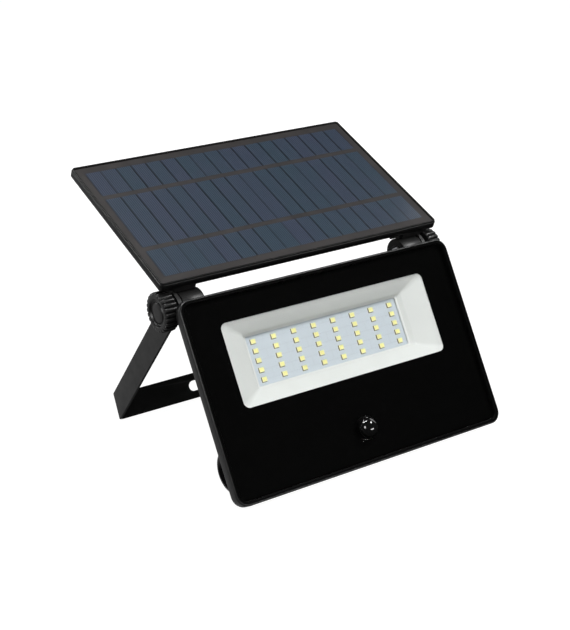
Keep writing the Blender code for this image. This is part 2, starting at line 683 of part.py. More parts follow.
def add_lug(side, sign):
    """Block under the panel, with an ear that the hinge bolt passes through."""
    top = PANEL_UNDER - GAP
    near = PANEL_NEAR + 1.2
    far = near + LUG_LENGTH
    ear_outline = arc(0, 0, BARREL_RADIUS - 0.2, 95, 330, 30)
    ear_outline += [(far - 4.0, top - 4.5), (far, top - 3.0), (far, top), (near, top), (near, top - 4.8)]
    low, high = sorted((sign * EAR_INNER, sign * EAR_OUTER))
    lug = slab(f"lug_{side}", ear_outline, low, high, panel, black_plastic, axis="X")
    low, high = sorted((sign * LUG_INNER, sign * (EAR_OUTER - 0.4)))
    profile = [(near, 6.0), (far - 6.0, 6.0), (far, 10.0), (far, top), (near, top)]
    saddle = slab(f"lug_block_{side}", profile, low, high, axis="X", group=cutters)
    low, high = sorted((sign * (EAR_OUTER - 0.8), sign * LUG_OUTER))
    wing = [(near, 14.4), (far, 14.4), (far, top), (near, top)]
    cover = slab(f"lug_wing_{side}", wing, low, high, axis="X", group=cutters)
    join(lug, saddle, cover)
    low, high = sorted((sign * (BARREL_INNER - 1.0), sign * EAR_INNER))
    middle, length = between(low, high)
    radius = BARREL_RADIUS + 0.5
    barrel = rod(f"lug_saddle_{side}", radius, length, "X", (middle, 0, 0), group=cutters, segments=40)
    hole = rod(f"ear_hole_{side}", BOLT_HOLE, 12.0, "X", (sign * EAR_OUTER, 0, 0), group=cutters, segments=24)
    cut(lug, barrel, hole)
    for i, (x, y) in enumerate(LUG_SCREWS, 1):
        centre = (sign * x, y, PANEL_UNDER)
        name = f"lug_screw_hole_{side}_{i}"
        shaft = rod(name, LUG_SCREW_HOLE, 40.0, "Z", centre, group=cutters, segments=16)
        centre = (sign * x, y, PANEL_UNDER - 19.4)
        well = rod(f"lug_screw_well_{side}_{i}", 3.5, 30.0, "Z", centre, group=cutters, segments=20)
        cut(lug, shaft, well)
        seat = (sign * x, y, PANEL_UNDER - 4.4)
        profile = [(0.0, 0.9), (1.2, 0.9), (1.3, 1.9), (2.3, 1.9), (3.0, 1.3), (3.0, 0.3)]
        profile += [(1.5, 0.3), (1.5, -5.6), (0.0, -6.0)]
        smooth(turned(f"lug_screw_{side}_{i}", profile, "-Z", seat, panel, steel, 14), 30)


# Bracket


def add_bracket():
    """Flat strap: two arms on the hinge line and a slotted crossbar across their lower ends."""
    work = bmesh.new()
    plane = STRAP_INNER + STRAP / 2
    arms = []
    for sign in (-1, 1):
        outline = arc(0, 0, STRAP_HALF, 90, 270, 12)
        outline += [(FOLD_BOTTOM[0] - 7.0, -STRAP_HALF), FOLD_BOTTOM, FOLD_TOP]
        verts = [work.verts.new((sign * plane * MM, y * MM, z * MM)) for y, z in outline]
        work.faces.new(verts)
        arms.append((verts[-2], verts[-1]))
    (left_bottom, left_top), (right_bottom, right_top) = arms
    work.faces.new((left_bottom, right_bottom, right_top, left_top))
    bmesh.ops.recalc_face_normals(work, faces=work.faces)
    folds = [e for e in work.edges if len(e.link_faces) == 2]
    bmesh.ops.bevel(work, geom=folds, offset=FOLD_RADIUS * MM, segments=4, profile=0.5, affect="EDGES")
    mesh = bpy.data.meshes.new("u_bracket")
    work.to_mesh(mesh)
    work.free()
    bracket = place("u_bracket", mesh, stand, black_steel)
    skin = bracket.modifiers.new("strap", "SOLIDIFY")
    skin.thickness = STRAP * MM
    skin.offset = 0.0
    skin.use_even_offset = True
    for side, sign in MIRROR:
        hole = rod(f"arm_hole_{side}", BOLT_HOLE, 12.0, "X", (sign * plane, 0, 0), group=cutters, segments=24)
        cut(bracket, hole)
    run = Vector((FOLD_TOP[0] - FOLD_BOTTOM[0], FOLD_TOP[1] - FOLD_BOTTOM[1]))
    centre = Vector((FOLD_TOP[0] + FOLD_BOTTOM[0], FOLD_TOP[1] + FOLD_BOTTOM[1])) / 2
    turn = Matrix.Rotation(math.atan2(run.y, run.x) - math.pi / 2, 4, "X")
    outlines = {"left": obround(-SLOT_ENDS[1], -SLOT_ENDS[0], 0.0, SLOT_HALF)}
    outlines["right"] = obround(SLOT_ENDS[0], SLOT_ENDS[1], 0.0, SLOT_HALF)
    outlines["middle"] = circle(0.0, 0.0, SLOT_HALF, 24)
    for name, outline in outlines.items():
        slot = slab(f"slot_{name}", outline, -6.0, 6.0, group=cutters)
        slot.data.transform(Matrix.Translation((0.0, centre.x * MM, centre.y * MM)) @ turn)
        cut(bracket, slot)


clear_scene()
parts = new_collection("solar_flood_light")
cutters = new_collection("cutters")

black_paint = material("black_paint", (0.012, 0.012, 0.013), 0.38)
black_plastic = material("black_plastic", (0.018, 0.018, 0.019), 0.48)
knob_plastic = material("knob_plastic", (0.022, 0.022, 0.023), 0.5)
gloss_black = material("gloss_black", (0.008, 0.008, 0.009), 0.12)
black_steel = material("black_steel", (0.03, 0.03, 0.032), 0.45, 0.2)
glass_black = material("glass_black", (0.006, 0.006, 0.007), 0.08)
white_plastic = material("white_plastic", (0.84, 0.86, 0.83), 0.45)
board_white = material("board_white", (0.62, 0.66, 0.70), 0.5)
board_green = material("board_green", (0.03, 0.16, 0.07), 0.45)
cell_blue = material("cell_blue", (0.04, 0.06, 0.11), 0.25)
cell_wrap = material("cell_wrap", (0.05, 0.22, 0.5), 0.4)
steel = material("steel", (0.55, 0.56, 0.57), 0.32, 1.0)
rubber = material("rubber", (0.02, 0.02, 0.02), 0.8)

lamp = pivot("lamp_pivot", LAMP_LEAN)
panel = pivot("panel_pivot", PANEL_TILT)
stand = pivot("bracket_pivot", ARM_TILT)

add_housing()
add_rear_cover()
add_front_glass()
add_reflector()
add_led_board()
add_motion_sensor()
add_control_board()
add_battery()
add_lamp_fittings()
add_panel()
for side_name, side_sign in MIRROR:
    add_knob(side_name, side_sign)
    add_lug(side_name, side_sign)
add_bracket()
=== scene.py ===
"""Studio view of a solar flood light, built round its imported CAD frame.

Shapes are written in millimetres in the local axes of the part they belong to. All three sets of
axes start on the hinge line and are turned about X:
  lamp:    +Y from the front glass to the back, +Z up the glass
  panel:   +Y from the near edge to the far edge, +Z out of the cells
  bracket: +Y from the hinge line down the arms to the crossbar
"""

import json
import math
import random

import bmesh
import bpy
from mathutils import Matrix, Vector


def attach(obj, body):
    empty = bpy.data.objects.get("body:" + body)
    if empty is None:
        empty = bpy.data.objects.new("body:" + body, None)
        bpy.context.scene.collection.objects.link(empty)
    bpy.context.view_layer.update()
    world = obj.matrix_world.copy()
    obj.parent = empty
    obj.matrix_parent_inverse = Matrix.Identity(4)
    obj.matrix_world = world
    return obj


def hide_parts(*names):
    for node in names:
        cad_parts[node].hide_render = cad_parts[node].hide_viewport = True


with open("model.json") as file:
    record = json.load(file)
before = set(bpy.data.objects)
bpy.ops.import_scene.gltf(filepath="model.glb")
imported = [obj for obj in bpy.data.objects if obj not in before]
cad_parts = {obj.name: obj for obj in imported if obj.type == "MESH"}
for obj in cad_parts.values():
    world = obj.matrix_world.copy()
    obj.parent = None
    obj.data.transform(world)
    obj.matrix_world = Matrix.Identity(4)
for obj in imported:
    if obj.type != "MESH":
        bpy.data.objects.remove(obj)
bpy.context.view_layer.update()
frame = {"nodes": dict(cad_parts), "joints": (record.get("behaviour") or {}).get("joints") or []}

MM = 0.001
TAU = math.tau
SIDES = (("left", -1), ("right", 1))
rng = random.Random(7)

HINGE = Vector(next(j["pos_m"] for j in frame["joints"] if j["name"] == "lamp_tilt"))


def tilted(angle):
    return Matrix.Translation(HINGE) @ Matrix.Rotation(math.radians(angle), 4, "X")


LAMP_LEAN = math.radians(30.0)
LAMP = tilted(-30.0)
PANEL = tilted(22.9)

# Lamp sizes, in millimetres
LAMP_WIDTH = 231.4
LAMP_TOP = 1.2
LAMP_BOTTOM = -141.6
LAMP_CORNER = 9.0
RIM_WIDTH = 3.4
RIM_FRONT = -24.1
RIM_REAR = -16.0
GLASS_FRONT = -23.6
GLASS_BACK = -20.4
GLASS_INSET = 3.55
PRINT_GAP = 0.04
PRINT_THICKNESS = 0.1
WINDOW = (175.0, 59.8)
WINDOW_Z = -49.7
WINDOW_CORNER = 4.5
REAR_WIDTH = 200.0
REAR_TOP = -11.8
REAR_BOTTOM = -130.0
CAVITY_FLOOR = -6.9
FLOOR_REAR = -4.4
COVER_REAR = 6.0
SENSOR_Z = -116.4
DOME_RADIUS = 7.2
DOME_HEIGHT = 6.1
COLLAR_RADIUS = 8.2
TUBE = (0.0, -1.5, -116.6)
TUBE_RADIUS = 13.6
TUBE_HALF = 101.4
CAP_RADIUS = 15.0
SWITCH = (66.0, COVER_REAR, -52.0)
VENT = (84.0, COVER_REAR, -52.0)

# LED board
LED_COLUMNS = 8
LED_ROWS = 5
LED_PITCH = (17.1, 6.81)
LED_SIZE = (3.9, 3.3)
LED_BASE = -8.5
LED_FACE = -9.4
BOARD_SIZE = (134.0, 38.0)
BOARD_THICKNESS = 1.4

# Hinge hardware
BOLT_HOLE = 3.3
BARREL_RADIUS = 11.7
BARREL_INNER = 86.7
BARREL_OUTER = 104.2
KNOB_INNER = 110.5
KNOB_OUTER = 120.3
KNOB_RADIUS = 14.2
KNOB_RIBS = 24
VALLEY_DEPTH = 1.8
VALLEY_SHARPNESS = 0.35

# Panel
PANEL_WIDTH = 239.2
PANEL_LENGTH = 137.3
PANEL_NEAR = 1.4
PANEL_UNDER = 17.5
PANEL_TOP = 23.5
PANEL_CORNER = 3.0
PANEL_LIP = 1.9
PANEL_SKIRT = 0.8
LAMINATE_TOP = PANEL_TOP - 1.2
LAMINATE_GAP = 0.05
CELL_LIFT = 0.05
CELL_COLUMNS = 18
CELL_PITCH = 12.47
CELL_ROWS = ((27.7, 8.55), (56.0, 40.65), (27.7, 101.05))


# Meshes

SMOOTH_ANGLE = 38
ROUNDING_ANGLE = 32
FLAT_ANGLE = 0.6
WELD_DISTANCE = 2e-6


def rounded(width, height, radius, cx=0.0, cy=0.0, steps=8):
    """Outline of a rectangle with round corners, with so many steps in each corner."""
    dx, dy = width / 2 - radius, height / 2 - radius
    points = []
    for x, y, start in ((dx, dy, 0), (-dx, dy, 90), (-dx, -dy, 180), (dx, -dy, 270)):
        for i in range(steps + 1):
            a = math.radians(start + 90 * i / steps)
            points.append((cx + x + radius * math.cos(a), cy + y + radius * math.sin(a)))
    return points


def lamp_outline(inset=0.0):
    height = LAMP_TOP - LAMP_BOTTOM
    middle = (LAMP_TOP + LAMP_BOTTOM) / 2
    radius = max(LAMP_CORNER - inset, 1.5)
    return rounded(LAMP_WIDTH - 2 * inset, height - 2 * inset, radius, 0.0, middle)


def rear_outline(inset=0.0):
    height = REAR_TOP - REAR_BOTTOM
    middle = (REAR_TOP + REAR_BOTTOM) / 2
    return rounded(REAR_WIDTH - 2 * inset, height - 2 * inset, 6.0 - inset, 0.0, middle)


def panel_outline(inset=0.0):
    radius = max(PANEL_CORNER - inset, 0.8)
    middle = PANEL_NEAR + PANEL_LENGTH / 2
    return rounded(PANEL_WIDTH - 2 * inset, PANEL_LENGTH - 2 * inset, radius, 0.0, middle)


def at_y(outline, y):
    return [(u, y, v) for u, v in outline]


def at_z(outline, z):
    return [(u, v, z) for u, v in outline]


def at_x(outline, x):
    return [(x, u, v) for u, v in outline]


def loft(work, rings, caps=(False, False), slot=0, shade_bands=()):
    """Quads between rings of equal length, and a face over either end. The shade bands take slot 1, which
    holds a painted shade black.
    """
    loops = [[work.verts.new(Vector(point) * MM) for point in ring] for ring in rings]
    for band, (a, b) in enumerate(zip(loops, loops[1:])):
        for i in range(len(a)):
            face = work.faces.new((a[i - 1], a[i], b[i], b[i - 1]))
            face.material_index = 1 if band in shade_bands else slot
    for cap, loop in zip(caps, (loops[0], loops[-1])):
        if cap:
            work.faces.new(loop).material_index = slot
    return loops


def along(axis, centre):
    """Turns a shape built along +Z so that it points along an axis, and moves it to its centre."""
    turns = {
        "X": Matrix.Rotation(math.pi / 2, 4, "Y"),
        "-X": Matrix.Rotation(-math.pi / 2, 4, "Y"),
        "Y": Matrix.Rotation(-math.pi / 2, 4, "X"),
        "-Y": Matrix.Rotation(math.pi / 2, 4, "X"),
        "Z": Matrix.Identity(4),
        "-Z": Matrix.Rotation(math.pi, 4, "X"),
    }
    return Matrix.Translation(Vector(centre)) @ turns[axis]


def lathe(work, profile, axis, centre, steps=64):
    """A profile of (radius, height) points turned about an axis. Radius 0 makes a pole."""
    turn = along(axis, centre)
    loops = []
    for radius, height in profile:
        angles = [TAU * i / steps for i in range(steps if radius > 0 else 1)]
        ring = [Vector((radius * math.cos(a), radius * math.sin(a), height)) for a in angles]
        loops.append([work.verts.new((turn @ point) * MM) for point in ring])
    pairs = list(zip(loops, loops[1:]))
    if profile[0][0] > 0 and profile[-1][0] > 0:
        pairs.append((loops[-1], loops[0]))
    for a, b in pairs:
        for i in range(steps):
            corners = [a[i - 1], a[i]] if len(a) > 1 else [a[0]]
            corners += [b[i], b[i - 1]] if len(b) > 1 else [b[0]]
            work.faces.new(corners)


def piece(name, work, matrix, materials, angle=SMOOTH_ANGLE):
    """Turns a bmesh in a part's local axes into an object in world axes, shaded smooth up to an angle."""
    bmesh.ops.recalc_face_normals(work, faces=work.faces)
    work.transform(matrix)
    mesh = bpy.data.meshes.new(name)
    work.to_mesh(mesh)
    work.free()
    for material in materials:
        mesh.materials.append(material)
    mesh.shade_smooth()
    mesh.set_sharp_from_angle(angle=math.radians(angle))
    obj = bpy.data.objects.new(name, mesh)
    bpy.context.scene.collection.objects.link(obj)
    return obj


def soften(obj, width, segments=3, angle=ROUNDING_ANGLE):
    """Rounds the hard edges, and keeps the flat faces flat in the shading."""
    edges = obj.modifiers.new("rounding", "BEVEL")
    edges.width = width * MM
    edges.segments = segments
    edges.limit_method = "ANGLE"
    edges.angle_limit = math.radians(angle)
    edges.harden_normals = True
    return obj


def carve(obj, work, matrix):
    """Cuts a closed shape out of obj, for good."""
    tool = piece("cutter", work, matrix, [])
    cut = obj.modifiers.new("cut", "BOOLEAN")
    cut.operation = "DIFFERENCE"
    cut.solver = "EXACT"
    cut.object = tool
    bpy.context.view_layer.update()
    graph = bpy.context.evaluated_depsgraph_get()
    mesh = bpy.data.meshes.new_from_object(obj.evaluated_get(graph))
    obj.modifiers.clear()
    obj.data = mesh
    bpy.data.objects.remove(tool)
    mesh.shade_smooth()
    mesh.set_sharp_from_angle(angle=math.radians(SMOOTH_ANGLE))


def turned(name, profile, axis, centre, matrix, material, steps=64):
    """A lathed piece of its own."""
    work = bmesh.new()
    lathe(work, profile, axis, centre, steps)
    return piece(name, work, matrix, [material])


def refined(name, node, material, width):
    """A CAD node's own shape as a welded mesh with rounded edges."""
    work = bmesh.new()
    work.from_mesh(frame["nodes"][node].data)
    bmesh.ops.remove_doubles(work, verts=work.verts, dist=WELD_DISTANCE)
    flat = math.radians(FLAT_ANGLE)
    bmesh.ops.dissolve_limit(work, angle_limit=flat, verts=work.verts, edges=work.edges)
    obj = piece(name, work, Matrix.Identity(4), [material], ROUNDING_ANGLE)
    return soften(obj, width, 2)


def stand_for(obj, body, *nodes):
    """Lets a piece move with a body, in the place of the named CAD nodes."""
    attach(obj, body)
    if nodes:
        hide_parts(*nodes)


# Materials

# Sockets of the Mix node when it mixes colours
FIRST_COLOR = 6
SECOND_COLOR = 7
MIXED_COLOR = 2

# Depth of fine relief, in metres
RELIEF = 0.0001
BROAD_SCALE = 42.0
PATCH_SCALE = 160.0
# Pointiness range of the lightened edges: rubbed wear and a painted edge highlight
EDGE_WEAR_AND_HIGHLIGHT = (0.53, 0.6)

GLASS_MIRROR = 0.02
FINGER_PITCH = CELL_PITCH / 8
FINGER_SHARE = 0.4
FINGER_GAIN = 2.4
JOINT_START = 0.5 - 0.62 / CELL_PITCH
JOINT_FULL = 0.472

CELL_SLATE = (0.0165, 0.0285, 0.0425)
CELL_VIOLET = (0.0205, 0.0275, 0.046)
JOINT_COLOR = (0.0015, 0.003, 0.005)
MASK_COLOR = (0.58, 0.635, 0.69)
# Grey of the lightened edges: rubbed wear and a painted edge highlight
EDGE_GREY = (0.03, 0.03, 0.03)


def feed(tree, socket, value):
    """Links another node's output to a socket, or gives the socket a plain value."""
    if isinstance(value, bpy.types.NodeSocket):
        tree.links.new(value, socket)
    else:
        socket.default_value = value


def add(tree, kind, **settings):
    """A new node. A setting named like an input feeds that input. Any other is set on the node itself."""
    node = tree.nodes.new(kind)
    for key, value in settings.items():
        label = key.replace("_", " ")
        if label in node.inputs:
            feed(tree, node.inputs[label], value)
        else:
            setattr(node, key, value)
    return node


def new_material(name):
    material = bpy.data.materials.new(name)
    material.use_nodes = True
    tree = material.node_tree
    return material, tree, tree.nodes["Principled BSDF"]


def blend_colors(tree, share, first, second):
    """Mixes two colours, each a tuple of red, green and blue or another node's output."""
    node = tree.nodes.new("ShaderNodeMix")
    node.data_type = "RGBA"
    tree.links.new(share, node.inputs["Factor"])
    for index, value in ((FIRST_COLOR, first), (SECOND_COLOR, second)):
        color = (*value, 1.0) if isinstance(value, tuple) else value
        feed(tree, node.inputs[index], color)
    return node.outputs[MIXED_COLOR]


def mix_shaders(tree, share, first, second):
    node = add(tree, "ShaderNodeMixShader")
    for socket, output in zip(node.inputs, (share, first, second)):
        tree.links.new(output, socket)
    return node.outputs[0]


def spread(tree, value, low, high):
    """Maps a noise value from its usual 0.3 to 0.7 onto low to high."""
    node = add(tree, "ShaderNodeMapRange", Value=value, From_Min=0.3, From_Max=0.7, To_Min=low, To_Max=high)
    return node.outputs[0]


def maths(tree, operation, first, second=0.0):
    node = tree.nodes.new("ShaderNodeMath")
    node.operation = operation
    for socket, value in zip(node.inputs, (first, second)):
        feed(tree, socket, value)
    return node.outputs[0]


def scaled(color, by):
    return tuple(channel * by for channel in color)


def scaled_color(tree, color, by):
    node = add(tree, "ShaderNodeVectorMath", operation="SCALE", Scale=by)
    tree.links.new(color, node.inputs[0])
    return node.outputs[0]


def noise(tree, coords, scale, detail=3.0):
    return add(tree, "ShaderNodeTexNoise", Vector=coords, Scale=scale, Detail=detail).outputs[0]


def surface(
    name,
    color,
    roughness,
    grain=2200.0,
    bump=0.12,
    tone=0.14,
    rub=0.05,
    metallic=0.0,
    coat=0.0,
    wear_and_highlight=None,
    specular=0.5,
):
    """Moulded or painted surface: patchy tone and gloss, fine grain, and edges lightened to one grey that
    stands for rubbed wear and a painted edge highlight.
    """
    material, tree, shader = new_material(name)
    coords = add(tree, "ShaderNodeTexCoord").outputs["Object"]
    broad = noise(tree, coords, BROAD_SCALE)
    shade = spread(tree, broad, 0.0, 1.0)
    base = blend_colors(tree, shade, scaled(color, 1 - tone), scaled(color, 1 + tone))
    if wear_and_highlight:
        edge = add(tree, "ShaderNodeNewGeometry").outputs["Pointiness"]
        low, high = EDGE_WEAR_AND_HIGHLIGHT
        mask = add(tree, "ShaderNodeMapRange", Value=edge, From_Min=low, From_Max=high).outputs[0]
        base = blend_colors(tree, mask, base, wear_and_highlight)
    tree.links.new(base, shader.inputs["Base Color"])
    patches = noise(tree, coords, PATCH_SCALE, 4.0)
    tree.links.new(spread(tree, patches, roughness - rub, roughness + rub), shader.inputs["Roughness"])
    fine = noise(tree, coords, grain, 2.0)
    relief = add(tree, "ShaderNodeBump", Strength=bump, Distance=RELIEF, Height=fine)
    tree.links.new(relief.outputs[0], shader.inputs["Normal"])
    shader.inputs["Metallic"].default_value = metallic
    shader.inputs["Coat Weight"].default_value = coat
    shader.inputs["Coat Roughness"].default_value = 0.08
    shader.inputs["Specular IOR Level"].default_value = specular
    return material


def clear_glass():
    """Flat glass: a clear sheet with a weak mirror over it, which is the same from both sides."""
    material, tree, shader = new_material("clear_glass")
    tree.nodes.remove(shader)
    coords = add(tree, "ShaderNodeTexCoord").outputs["Object"]
    smear = spread(tree, noise(tree, coords, 25.0), 0.02, 0.05)
    mirror = add(tree, "ShaderNodeBsdfGlossy", Roughness=smear)
    clear = add(tree, "ShaderNodeBsdfTransparent", Color=(0.995, 1.0, 0.997, 1.0))
    facing = add(tree, "ShaderNodeLayerWeight", Blend=0.5).outputs["Facing"]
    slant = maths(tree, "POWER", facing, 5.0)
    share = add(tree, "ShaderNodeMapRange", Value=slant, To_Min=GLASS_MIRROR, To_Max=1.0)
    both = mix_shaders(tree, share.outputs[0], clear.outputs[0], mirror.outputs[0])
    tree.links.new(both, tree.nodes["Material Output"].inputs["Surface"])
    return material


def cell_material():
    """Silicon strips with dark joints between them, silver fingers along them and clear resin on top."""
    material, tree, shader = new_material("solar_cell")
    coords = add(tree, "ShaderNodeTexCoord").outputs["Object"]
    tone = add(tree, "ShaderNodeAttribute", attribute_name="tone").outputs["Fac"]
    cloud = spread(tree, noise(tree, coords, 60.0, 5.0), -0.3, 0.3)
    base = blend_colors(tree, maths(tree, "ADD", tone, cloud), CELL_SLATE, CELL_VIOLET)
    x = add(tree, "ShaderNodeSeparateXYZ", Vector=coords).outputs[0]
    stripe = maths(tree, "FRACT", maths(tree, "DIVIDE", x, FINGER_PITCH * MM))
    finger = maths(tree, "LESS_THAN", stripe, FINGER_SHARE)
    striped = blend_colors(tree, finger, base, scaled_color(tree, base, FINGER_GAIN))
    strip = maths(tree, "DIVIDE", x, CELL_PITCH * MM)
    edge = maths(tree, "ABSOLUTE", maths(tree, "SUBTRACT", maths(tree, "FRACT", strip), 0.5))
    joint = add(tree, "ShaderNodeMapRange", Value=edge, From_Min=JOINT_START, From_Max=JOINT_FULL)
    depth = add(tree, "ShaderNodeAttribute", attribute_name="joint").outputs["Fac"]
    color = blend_colors(tree, maths(tree, "MULTIPLY", joint.outputs[0], depth), striped, JOINT_COLOR)
    tree.links.new(color, shader.inputs["Base Color"])
    flake = noise(tree, coords, 900.0, 2.0)
    tree.links.new(spread(tree, flake, 0.3, 0.42), shader.inputs["Roughness"])
    relief = add(tree, "ShaderNodeBump", Strength=0.06, Distance=RELIEF, Height=finger)
    tree.links.new(relief.outputs[0], shader.inputs["Normal"])
    shader.inputs["Coat Weight"].default_value = 0.6
    shader.inputs["Coat Roughness"].default_value = 0.12
    return material


def board_material():
    """White solder mask over copper lands, which show as faint lines."""
    material, tree, shader = new_material("solder_mask")
    coords = add(tree, "ShaderNodeTexCoord").outputs["Object"]
    parts = add(tree, "ShaderNodeSeparateXYZ", Vector=coords)
    flat = add(tree, "ShaderNodeCombineXYZ", X=parts.outputs[0], Y=parts.outputs[2])
    lands = add(
        tree,
        "ShaderNodeTexBrick",
        Vector=flat.outputs[0],
        Scale=1.0,
        Mortar_Size=0.00025,
        Brick_Width=LED_PITCH[0] * MM,
        Row_Height=LED_PITCH[1] * MM * math.cos(LAMP_LEAN),
    )
    base = blend_colors(tree, lands.outputs["Fac"], MASK_COLOR, scaled(MASK_COLOR, 0.93))
    tree.links.new(base, shader.inputs["Base Color"])
    patches = noise(tree, coords, 300.0)
    tree.links.new(spread(tree, patches, 0.42, 0.55), shader.inputs["Roughness"])
    relief = add(tree, "ShaderNodeBump", Strength=0.2, Distance=RELIEF / 2, Height=lands.outputs["Fac"])
    relief.invert = True
    tree.links.new(relief.outputs[0], shader.inputs["Normal"])
    return material


# Housing, knob and bracket edges turn EDGE_GREY: rubbed wear and a painted edge highlight
housing_paint = surface("housing_paint", (0.006, 0.006, 0.006), 0.36, 1400.0, 0.25, wear_and_highlight=EDGE_GREY)
# Darker, duller copy of the housing paint: painted shade for the bezel, the bottom wall and the sensor
# collar
bezel_shade_black = surface("bezel_shade_black", (0.002, 0.002, 0.002), 0.3, 1400.0, 0.06, specular=0.03)
cover_plastic = surface("cover_plastic", (0.007, 0.007, 0.007), 0.45, bump=0.2)
knob_plastic = surface("knob_plastic", (0.006, 0.006, 0.006), 0.34, wear_and_highlight=EDGE_GREY)
rim_plastic = surface("rim_plastic", (0.003, 0.003, 0.003), 0.4, 500.0, 0.02, specular=0.3)
shade_black = surface("shade_black", (0.0015, 0.0015, 0.0015), 0.5, specular=0.12)
powder_coat = surface("powder_coat", (0.005, 0.005, 0.005), 0.42, 1400.0, 0.2, wear_and_highlight=EDGE_GREY)
gloss_black = surface("gloss_black", (0.005, 0.005, 0.005), 0.09, 400.0, 0.02, rub=0.03, coat=0.5)
print_black = surface("print_black", (0.0006, 0.0006, 0.0006), 0.5, specular=0.02)
laminate_grey = surface("laminate_grey", (0.035, 0.032, 0.0318), 0.45, 500.0, 0.02, specular=0.3)
white_plastic = surface("white_plastic", (0.742, 0.752, 0.738), 0.48, bump=0.06, tone=0.02)
led_body = surface("led_body", (0.95, 0.92, 0.54), 0.45, bump=0.05, tone=0.03)
# Brown for the LEDs' foot and sides: solder, with painted shadow and shade
solder_and_shadow = surface("solder_and_shadow", (0.20, 0.18, 0.11), 0.4, bump=0.1, tone=0.2)
phosphor = surface("phosphor", (0.95, 0.90, 0.36), 0.5, 3000.0, 0.2, tone=0.06)
zinc = surface("zinc", (0.55, 0.56, 0.58), 0.32, 900.0, 0.08, metallic=1.0)
rubber = surface("rubber", (0.018, 0.018, 0.018), 0.75, 1500.0, 0.3)
board_green = surface("board_green", (0.03, 0.16, 0.07), 0.42, 700.0, 0.1)
cell_wrap = surface("cell_wrap", (0.05, 0.22, 0.5), 0.35, 500.0, 0.05)
glass = clear_glass()
cell_blue = cell_material()
solder_mask = board_material()


# Lamp


def ring_stack(outline, stations):
    """Rings of one outline at (inset, depth) stations, with depth along Y."""
    return [at_y(outline(inset), depth) for inset, depth in stations]


def tube_space(radius, half):
    work = bmesh.new()
    lathe(work, [(0.0, half), (radius, half), (radius, -half), (0.0, -half)], "X", TUBE)
    return work


# Stations of the housing: inset from the outline, and depth
CAVITY_STATIONS = ((2.4, CAVITY_FLOOR), (2.4, RIM_REAR - 2.6))
RIM_STATIONS = (
    (RIM_WIDTH + 3.0, RIM_REAR - 2.6),
    (RIM_WIDTH + 3.0, GLASS_BACK + 1.2),
    (RIM_WIDTH, GLASS_BACK + 1.2),
    (RIM_WIDTH, RIM_FRONT + 0.9),
    (RIM_WIDTH - 0.15, RIM_FRONT + 0.35),
    (RIM_WIDTH - 0.5, RIM_FRONT + 0.06),
    (RIM_WIDTH - 0.9, RIM_FRONT),
    (1.1, RIM_FRONT),
    (0.75, RIM_FRONT + 0.08),
    (0.4, RIM_FRONT + 0.3),
    (0.12, RIM_FRONT + 0.65),
    (0.0, RIM_FRONT + 1.2),
    (0.0, RIM_REAR - 1.3),
    (0.2, RIM_REAR - 0.6),
    (0.6, RIM_REAR - 0.2),
    (1.2, RIM_REAR),
)
REAR_STATIONS = (
    (-1.2, RIM_REAR),
    (-0.4, RIM_REAR + 0.3),
    (0.0, RIM_REAR + 1.1),
    (0.0, FLOOR_REAR - 0.6),
    (0.2, FLOOR_REAR - 0.1),
    (0.7, FLOOR_REAR),
)
# Bands of the rim's inner wall, inner fillet and front face, which take the painted shade black
BEZEL_BANDS = range(2, 9)
BOTTOM_WALL_TOP = LAMP_BOTTOM + 0.35


def build_housing():
    """Rim, side walls, rear step and rear box. The bezel and the bottom wall take a darker, duller copy of
    the paint: painted shade.
    """
    rings = ring_stack(rear_outline, CAVITY_STATIONS)
    rings += ring_stack(lamp_outline, RIM_STATIONS)
    rings += ring_stack(rear_outline, REAR_STATIONS)
    work = bmesh.new()
    loft(work, rings, (True, True), shade_bands=BEZEL_BANDS)
    # The bottom wall, which faces down, takes the painted shade black too
    for face in work.faces:
        if face.calc_center_median().z < BOTTOM_WALL_TOP * MM:
            face.material_index = 1
    shell = piece("housing_shell", work, LAMP, [housing_paint, bezel_shade_black])
    carve(shell, tube_space(CAP_RADIUS + 0.3, TUBE_HALF + 5.0), LAMP)
    stand_for(shell, "lamp", "housing")


def build_barrel(side, sign):
    """Hinge barrel with its nut recess, and the web that carries it on the housing's back."""
    out = "X" if sign > 0 else "-X"
    r = BARREL_RADIUS
    low, high = BARREL_INNER, BARREL_OUTER
    profile = [(6.0, low + 5.0), (6.0, low + 0.5), (6.6, low), (r - 1.3, low), (r - 0.4, low + 0.35)]
    profile += [(r, low + 1.2), (r, high - 0.9), (r - 0.3, high - 0.25), (r - 1.0, high)]
    profile += [(BOLT_HOLE, high), (BOLT_HOLE, low + 5.0)]
    barrel = turned(f"hinge_barrel_{side}", profile, out, (0, 0, 0), LAMP, housing_paint)
    # The flat end faces take the shade black: painted shade
    barrel.data.materials.append(shade_black)
    for face in barrel.data.polygons:
        if abs(face.normal.x) > 0.8:
            face.material_index = 1
    stand_for(barrel, "lamp")
    front = RIM_REAR - 0.4
    web = [(front, -1.0), (front, -17.0), (-5.2, -17.0), (-4.0, -12.4)]
    web += [(2.0, -11.4), (0.0, -6.0), (-9.0, -1.0)]
    work = bmesh.new()
    loft(work, [at_x(web, sign * (low + 2.2)), at_x(web, sign * (high - 2.2))], (True, True))
    carrier = piece(f"hinge_web_{side}", work, LAMP, [housing_paint])
    stand_for(soften(carrier, 0.8), "lamp")


def sensor_hole(radius, half):
    work = bmesh.new()
    lathe(work, [(0, half), (radius, half), (radius, -half), (0, -half)], "Y", (0, GLASS_BACK, SENSOR_Z))
    return work


def build_glass():
    outline = lamp_outline(GLASS_INSET)
    work = bmesh.new()
    loft(work, [at_y(outline, GLASS_FRONT), at_y(outline, GLASS_BACK)], (True, True))
    pane = piece("glass_pane", work, LAMP, [glass])
    carve(pane, sensor_hole(8.5, 9.0), LAMP)
    stand_for(pane, "lamp", "front_glass")


